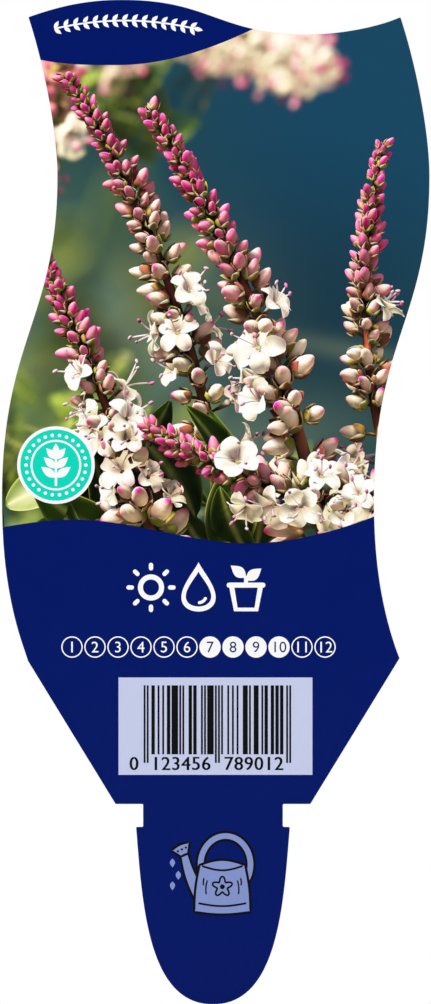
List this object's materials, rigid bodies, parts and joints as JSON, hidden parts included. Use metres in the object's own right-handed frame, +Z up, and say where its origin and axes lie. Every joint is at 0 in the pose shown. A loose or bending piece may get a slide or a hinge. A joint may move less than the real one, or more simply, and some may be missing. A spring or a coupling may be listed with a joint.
{
  "type": "plant label",
  "caption": "Thin die-cut plastic plant label with a wavy head, sloping shoulders, a narrow neck that clips into a pot's label slot and a round-ended stake.",
  "frame": {"origin": "on the plain back face, in the middle of the neck's top line, level with the undersides of the two shoulders", "axes": "+Z up along the label from the stake to the head, +Y out of the plain back, so the printed front faces -Y, and +X to the right of someone who reads the front"},
  "size_m": [0.0729, 0.0005, 0.1713],
  "materials": {
    "printed_plastic": "white polystyrene sheet printed dark blue on the front, satin gloss",
    "white_ink": "white print, satin gloss",
    "picture_print": "full-colour picture print, satin gloss",
    "panel_print": "pale lilac print with black bars, satin gloss",
    "badge_print": "turquoise print with white line work, satin gloss",
    "motif_print": "periwinkle print with black line work, satin gloss"
  },
  "bodies": {
    "root": {"label_sheet": "printed_plastic"}
  },
  "joints": []
}
